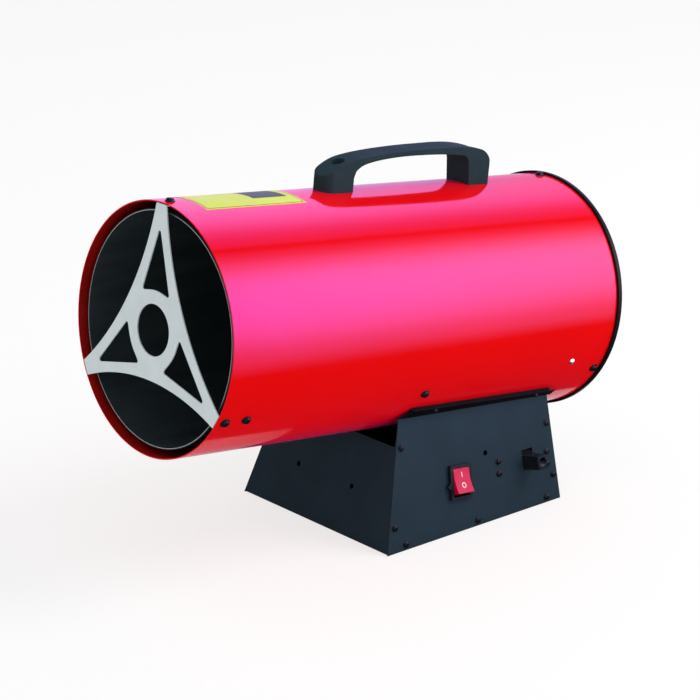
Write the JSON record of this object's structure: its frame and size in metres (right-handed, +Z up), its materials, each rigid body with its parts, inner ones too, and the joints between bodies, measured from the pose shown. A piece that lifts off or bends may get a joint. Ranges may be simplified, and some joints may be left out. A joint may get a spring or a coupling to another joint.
{
  "type": "forced air heater",
  "caption": "Portable gas forced air heater: a tilted red tube with a star-shaped outlet guard, fan and burner inside, a carrying handle and a folded sheet-metal base.",
  "frame": {"origin": "centre of the base's footprint on the floor", "axes": "+Y towards the rear air inlet, +X towards the side with the switch, +Z up; the hot air leaves towards -Y"},
  "size_m": [0.2217, 0.4707, 0.3314],
  "materials": {
    "red_paint": "glossy red enamel",
    "base_powder": "satin blue-black powder coat",
    "guard_steel": "satin light silver",
    "flame_steel": "dull aluminised steel",
    "zinc": "bright zinc plate",
    "black_plastic": "fine satin grain",
    "button_plastic": "satin",
    "rocker_red": "translucent red, glossy",
    "black_screws": "black zinc",
    "black_paint": "satin black",
    "fan_aluminium": "pressed, satin",
    "lamination_steel": "stacked laminations",
    "bearing_casting": "die cast",
    "shaft_steel": "ground",
    "coil_wrap": "varnished copper winding",
    "brass": "machined",
    "inlet_metal": "black, bare bore",
    "valve_casting": "die cast, blackened",
    "pipe_aluminium": "drawn, satin",
    "ceramic": "glazed white ceramic",
    "probe_steel": "heat tinted",
    "lead_insulation": "matt",
    "strip_rubber": "matt",
    "block_nylon": "natural nylon"
  },
  "bodies": {
    "housing": {"outer_shell": "red_paint", "base_tray": "base_powder", "control_panel": "base_powder", "plain_panel": "base_powder", "outlet_guard": "guard_steel", "combustion_tube": "flame_steel", "burner_baffle": "flame_steel", "burner_head": "flame_steel", "tube_spacers": "zinc", "motor_bracket": "zinc", "bracket_rivets": "zinc", "motor_screws": "zinc", "handle": "black_plastic", "switch_housing": "black_plastic", "cable_gland": "black_plastic", "igniter_body": "black_plastic", "guard_screws": "black_screws", "spacer_screws": "black_screws", "grille_screws": "black_screws", "panel_screws": "black_screws", "saddle_screws": "black_screws", "valve_screws": "black_screws", "handle_screws": "black_screws", "grille_ring": "black_paint", "grille_wires": "black_paint", "motor_stator": "lamination_steel", "front_bearing": "bearing_casting", "rear_bearing": "bearing_casting", "motor_coil": "coil_wrap", "gas_nozzle": "brass", "switch_terminals": "brass", "gas_inlet": "inlet_metal", "gas_valve": "valve_casting", "gas_pipe": "pipe_aluminium", "spark_electrode": "ceramic", "flame_probe": "probe_steel", "ignition_lead": "lead_insulation", "motor_lead": "lead_insulation", "probe_lead": "lead_insulation", "saddle_pads": "strip_rubber", "terminal_block": "block_nylon"},
    "fan_rotor": {"fan": "fan_aluminium", "fan_nut": "zinc", "motor_shaft": "shaft_steel", "rotor": "lamination_steel"},
    "rocker": {"switch_rocker": "rocker_red"},
    "valve_push": {"valve_button": "button_plastic"},
    "igniter_push": {"igniter_button": "button_plastic"}
  },
  "joints": [
    {"name": "fan_spin", "type": "hinge", "parent": "housing", "child": "fan_rotor", "pos_m": [0, 0.05585, 0.18008], "axis": [0, 0.9936, -0.1132], "continuous": true},
    {"name": "rocker_tip", "type": "hinge", "parent": "housing", "child": "rocker", "pos_m": [0.09117, -0.01325, 0.04355], "axis": [0.0228, 0.9945, -0.102], "range_deg": [0, 30]},
    {"name": "valve_push", "type": "slide", "parent": "housing", "child": "valve_push", "axis": [0, -1, 0], "range_m": [0, 0.004], "stiffness_N_per_m": 1500},
    {"name": "igniter_push", "type": "slide", "parent": "housing", "child": "igniter_push", "axis": [0, -1, 0], "range_m": [0, 0.005], "stiffness_N_per_m": 2000}
  ]
}
